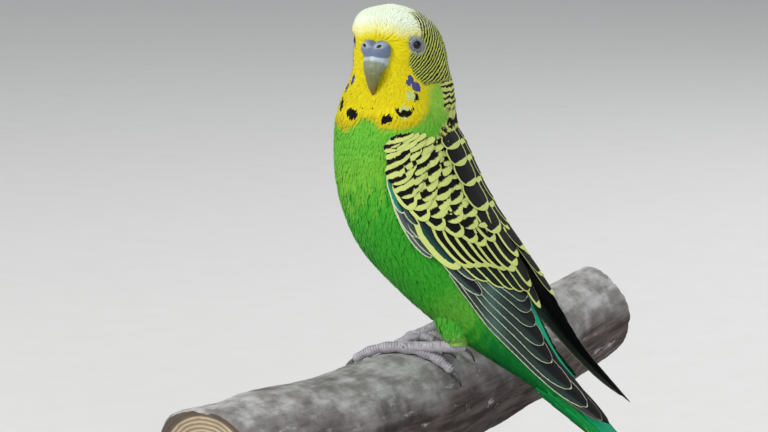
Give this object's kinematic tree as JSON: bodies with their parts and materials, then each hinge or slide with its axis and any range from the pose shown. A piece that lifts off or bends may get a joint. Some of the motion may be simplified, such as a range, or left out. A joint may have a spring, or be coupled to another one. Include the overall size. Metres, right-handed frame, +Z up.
{
  "type": "budgerigar model on a perch",
  "caption": "Life-size still model of a green budgerigar gripping a cut length of branch, its head turned to its left, on a plain display stand.",
  "frame": {"origin": "middle of the stand base's underside, on the floor", "axes": "+Z up; the bird's body faces -Y and its left side is +X; the head is turned to its left, towards +X"},
  "size_m": [0.2025, 0.1567, 0.1734],
  "materials": {
    "plumage_green": "soft feathers, bright grass green with emerald towards the vent",
    "plumage_yellow": "soft feathers, yellow face and pale cap with fine black bars behind",
    "plumage_barred": "overlapping feathers, black with yellow-green edges",
    "plumage_teal": "long stiff feathers, green to dark blue-green",
    "bare_skin": "finely scaled pinkish grey skin",
    "claw": "dark grey horn",
    "cere": "smooth blue-lavender skin",
    "bill": "olive-grey horn, browner at the tip",
    "eye": "glossy dark eye with a pale ring",
    "bark": "weathered grey-brown bark",
    "base_wood": "dark stained wood",
    "rod_steel": "satin steel"
  },
  "bodies": {
    "root": {"torso": "plumage_green", "neck": "plumage_yellow", "head": "plumage_yellow", "wing_left": "plumage_barred", "wing_right": "plumage_barred", "tail": "plumage_teal", "cere": "cere", "bill_upper": "bill", "bill_lower": "bill", "eye_left": "eye", "eye_right": "eye", "leg_left": "bare_skin", "leg_right": "bare_skin", "foot_left": "bare_skin", "foot_right": "bare_skin", "perch": "bark", "stand_base": "base_wood", "stand_rod_near": "rod_steel", "stand_rod_far": "rod_steel", "claw_left_inner_front": "claw", "claw_left_outer_front": "claw", "claw_left_inner_back": "claw", "claw_left_outer_back": "claw", "claw_right_inner_front": "claw", "claw_right_outer_front": "claw", "claw_right_inner_back": "claw", "claw_right_outer_back": "claw"}
  },
  "joints": []
}
